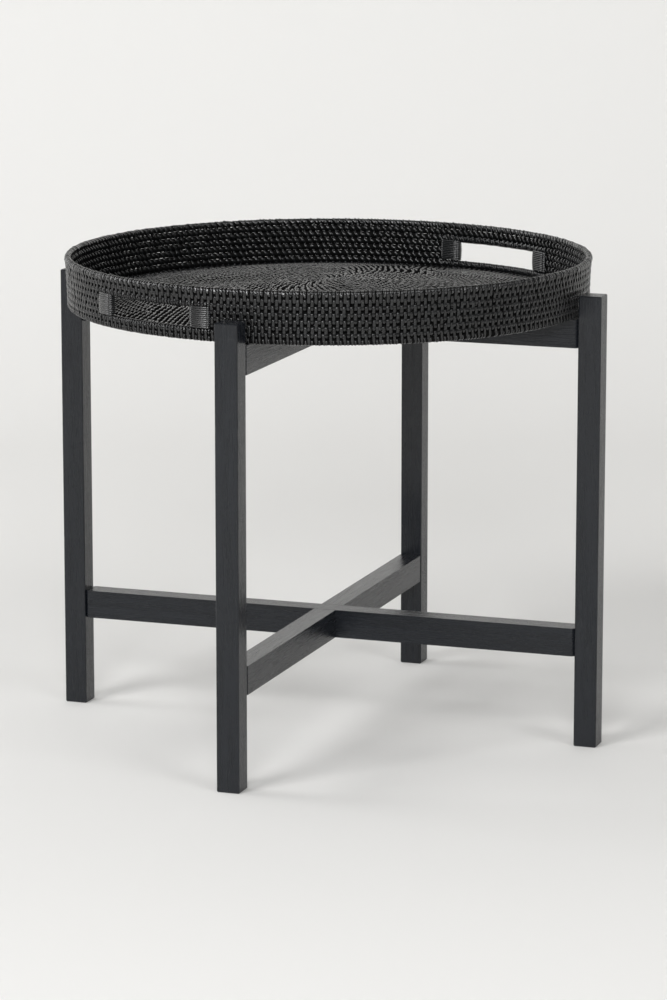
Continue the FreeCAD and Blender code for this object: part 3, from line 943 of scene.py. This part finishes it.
def wall_batch(first, last, wanted=None, rough=STITCH_ROUGH):
    """A row of the wall's stitches, or of single wraps, which are twice as close at the hand holes."""
    gaps = gap_before(HOLE_ANGLES[first])
    holes = HOLE_ANGLES[first]
    if wanted is at_hand_holes:
        holes, gaps = np.hstack([holes, holes - gaps / 2]), np.tile(gaps / 2, 2)
    holes = holes + gaps * chance.normal(0, WANDER, len(gaps))
    if wanted is not None:
        chosen = wanted(holes)
        holes, gaps = holes[chosen], gaps[chosen]
    lean = 0 if first == last else LEANS.get(first, 0)
    return stitch_batch(first, last, holes, gaps, lean, rough=rough)


stitch_piece("edge_stitches", wall_batch(EDGE - 1, EDGE))
stitch_piece("base_stitches", wall_batch(EDGE, BASE))
for order, coil in enumerate(range(BASE, TOP[0]), start=1):
    stitch_piece(f"side_stitches_{order}", wall_batch(coil, coil + 1, outside_hand_holes))
stitch_piece("top_stitches", wall_batch(TOP[0], TOP[1]))
stitch_piece("under_rim_stitches", wall_batch(TOP[1], RIM, rough=RIM_ROUGH))
stitch_piece("rim_wraps", wall_batch(RIM, RIM, rough=RIM_ROUGH), finish=full_finish)
hole_edges = [wall_batch(coil, coil, at_hand_holes) for coil in (BASE, TOP[0])]
stitch_piece("hand_hole_wraps", joined(hole_edges))

# %% [markdown]
# ## Floor stitches
#
# The floor's rows are gathered into zones of a few rows each. In the very middle the stitches run
# straight out from the first coil like the rays of a star, and the slant grows over the next rows.

# %% Floor stitches
ZONE_STITCHES = 650
STAR_ROWS = 4
FLOOR_ROUGH = 0.00018
FLOOR_CANE = 0.0018

zone, zone_size, zones = [], 0, 0
for coil in range(EDGE - 2, -1, -1):
    holes = HOLE_ANGLES[coil]
    fall = min(1, coil / STAR_ROWS)
    look = {"rough": FLOOR_ROUGH, "narrow": FLOOR_CANE}
    zone.append(stitch_batch(coil, coil + 1, holes, gap_before(holes), fall=fall, **look))
    zone_size += len(holes)
    if zone_size > ZONE_STITCHES - len(holes) or coil == 0:
        zones += 1
        stitch_piece(f"floor_stitches_{zones}", joined(zone), ROUND_SECTION, full_finish)
        zone, zone_size = [], 0

# %% [markdown]
# ## Wound posts
#
# Beside each hand hole the ends of the coils are bound into a post by one thick rounded strand, wound
# round and round. Its path is a helix about a rounded block, which swells a little halfway up. The
# winding reaches a little past the post at its foot and more at its head, where it meets the coils.

# %% Wound posts
POST_TURNS = 11
TURN_STEPS = 24
POST_SQUARENESS = 0.5
POST_SWELL = 0.0007
STRAND_THICKNESS = 0.0012
POST_OVER_BASE = 0.0006
POST_OVER_TOP = 0.0028
TURN_OVERLAP = 1.06
# The strand's tone is drawn from the light end of the cane's range: a painted highlight that makes the posts
# look brighter than the wall.
POST_PAINTED_HIGHLIGHT = (0.7, 1.0)


def wind_post(node):
    """The winding of a post, which takes the plain post's place."""
    start, end = angle_range(node)
    low, high = height_range(node)
    low, high = low - POST_OVER_BASE, high + POST_OVER_TOP
    inner, outer = radii(node).min(), radii(node).max()
    middle_radius = (inner + outer) / 2
    half_width = (end - start) / 2 * middle_radius - STRAND_THICKNESS
    half_depth = (outer - inner) / 2 - STRAND_THICKNESS - POST_SWELL
    rise = (high - low) / POST_TURNS
    turn = np.linspace(0, POST_TURNS * FULL_TURN, POST_TURNS * TURN_STEPS + 1)
    climb = turn / turn[-1]
    level = low + rise / 2 + climb * (high - low - rise)
    swell = POST_SWELL * np.sin(climb * math.pi)

    def squared(wave):
        """A wave with flatter tops, which makes a rounded block of a circle."""
        return np.sign(wave) * np.abs(wave) ** POST_SQUARENESS

    side = (half_width + swell) * squared(np.cos(turn))
    depth = (half_depth + swell) * squared(np.sin(turn))
    angle = (start + end) / 2 + side / middle_radius
    reach = middle_radius + depth
    path = np.stack([reach * np.cos(angle), reach * np.sin(angle), level], axis=-1)[None]
    along = np.gradient(path, axis=1)
    out = unit(np.cross(along, (0, 0, 1)))
    outwards = np.sign((out[0, :, :2] * (path[0] - path[0].mean(axis=0))[:, :2]).sum())
    size = np.ones((1, len(turn)))
    # A lighter tone than the wall's strips: painted highlight.
    shade = np.array([chance.uniform(*POST_PAINTED_HIGHLIGHT)])
    strand = (path, out * outwards, rise * TURN_OVERLAP * size, STRAND_THICKNESS * size, shade)
    piece = stitch_piece(node.replace("post", "winding"), strand, ROUND_SECTION, full_finish)
    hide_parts(node)


for side in ("right", "left"):
    for place in ("near", "far"):
        wind_post(f"{side}_handle_{place}_post")
